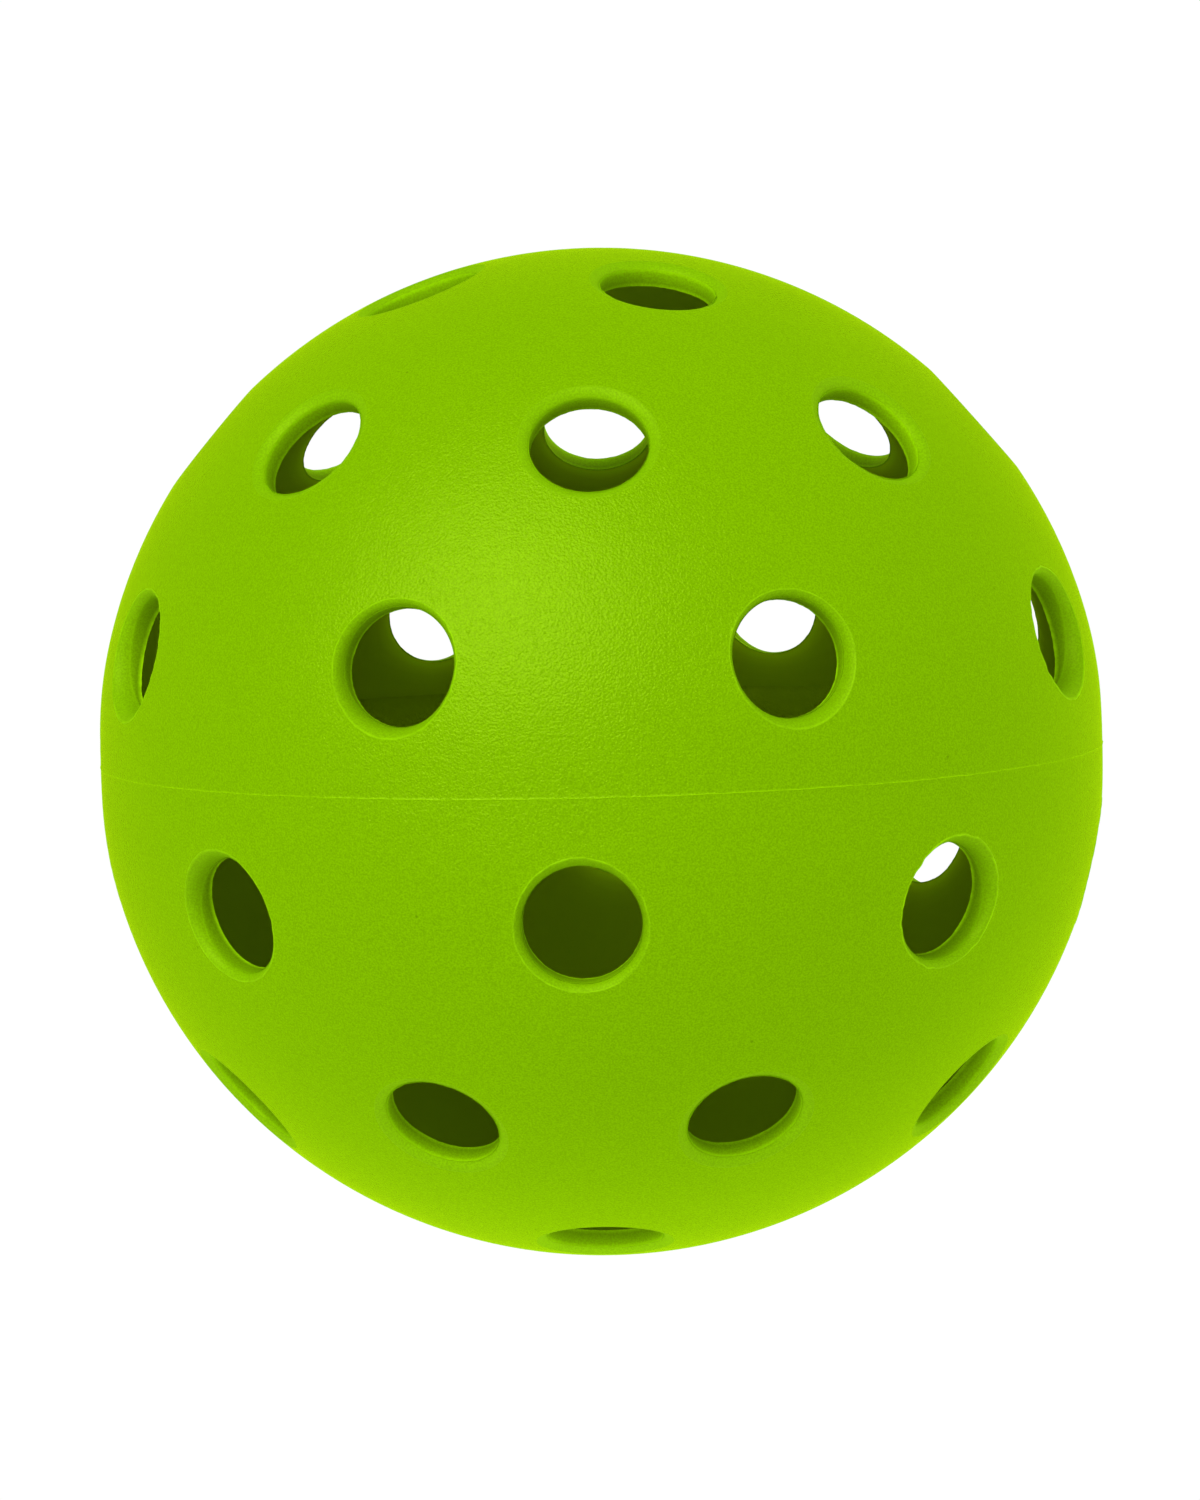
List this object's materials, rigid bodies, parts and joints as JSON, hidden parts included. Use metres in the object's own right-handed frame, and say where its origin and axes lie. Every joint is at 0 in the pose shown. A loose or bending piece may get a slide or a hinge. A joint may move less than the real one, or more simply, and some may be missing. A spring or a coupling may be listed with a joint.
{
  "type": "pickleball",
  "caption": "Hollow perforated plastic court ball: two moulded half shells with staggered rows of lipped air holes, welded rim to rim.",
  "frame": {"origin": "centre of the ball", "axes": "+Z through the pole of the upper half, square to the weld seam; -Y through a seam-row hole of the lower half"},
  "size_m": [0.0742, 0.0742, 0.074],
  "materials": {
    "shell_plastic": "satin lime green polyethylene with a fine moulded grain",
    "weld_plastic": "paler trimmed weld in the same plastic"
  },
  "bodies": {
    "root": {"upper_half_shell": "shell_plastic", "lower_half_shell": "shell_plastic", "weld_bead": "weld_plastic"}
  },
  "joints": []
}
